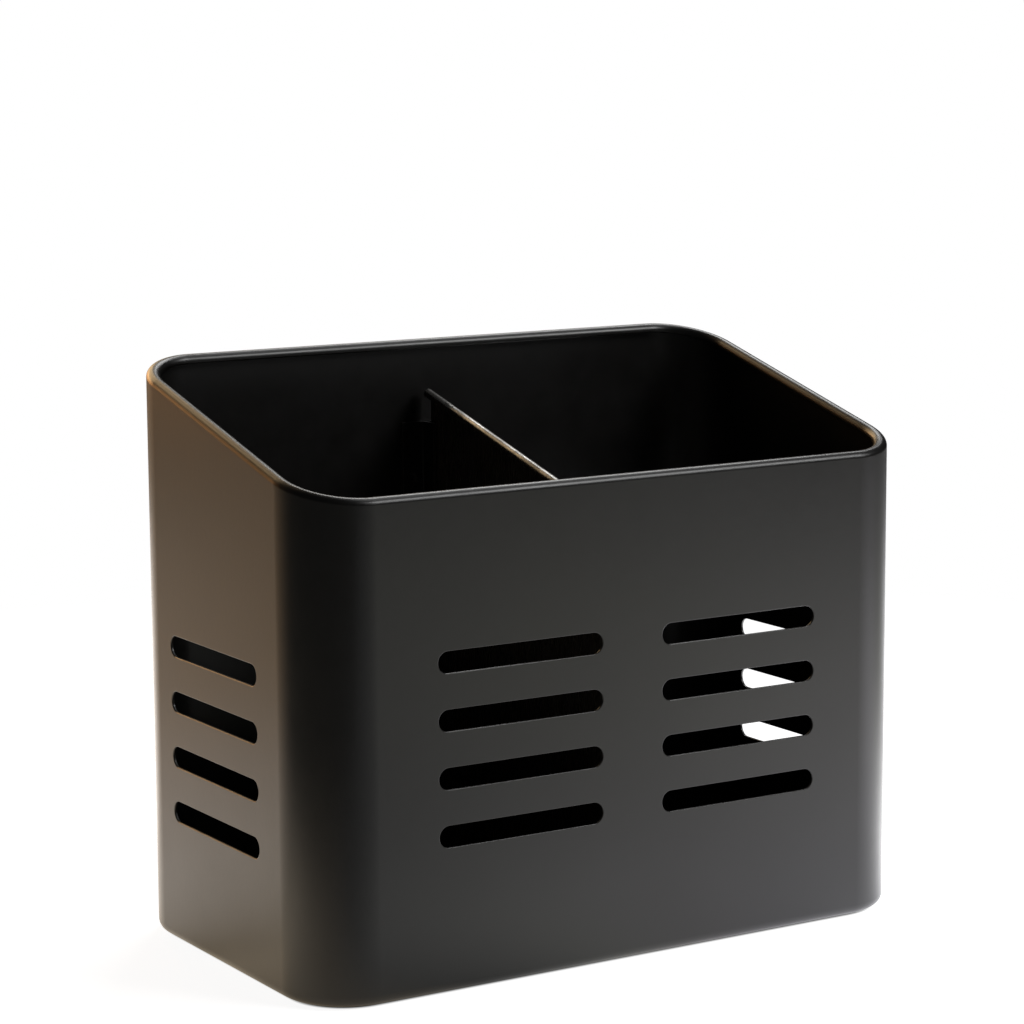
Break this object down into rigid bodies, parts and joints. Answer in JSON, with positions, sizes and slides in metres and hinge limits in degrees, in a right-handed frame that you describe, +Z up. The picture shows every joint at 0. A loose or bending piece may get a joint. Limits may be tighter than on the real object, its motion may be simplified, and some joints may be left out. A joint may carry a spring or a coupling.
{
  "type": "cutlery drainer",
  "caption": "Free-standing cutlery drainer of black painted sheet steel, with a sloping rolled rim, slotted walls, a pierced floor and a lift-out divider.",
  "frame": {"origin": "on the surface that the feet stand on, below the middle of the drainer's plan", "axes": "+Z up, +X to the right of someone facing the low front wall, +Y towards the high back wall; the front wall faces -Y"},
  "size_m": [0.2, 0.112, 0.167],
  "materials": {
    "body_paint": "satin black powder coat on sheet steel",
    "floor_paint": "satin black powder coat on sheet steel",
    "divider_paint": "thin satin black coat over upright brushing, worn to the steel along the crest",
    "guide_paint": "satin black powder coat on sheet steel",
    "foot_rubber": "matt black rubber"
  },
  "bodies": {
    "holder": {"wall_shell": "body_paint", "drain_floor": "floor_paint", "front_left_guide": "guide_paint", "front_right_guide": "guide_paint", "rear_left_guide": "guide_paint", "rear_right_guide": "guide_paint", "front_left_foot": "foot_rubber", "front_right_foot": "foot_rubber", "rear_left_foot": "foot_rubber", "rear_right_foot": "foot_rubber"},
    "divider": {"divider": "divider_paint"}
  },
  "joints": [
    {"name": "divider_lift", "type": "slide", "parent": "holder", "child": "divider", "axis": [0, 0, 1], "range_m": [0, 0.17]}
  ]
}
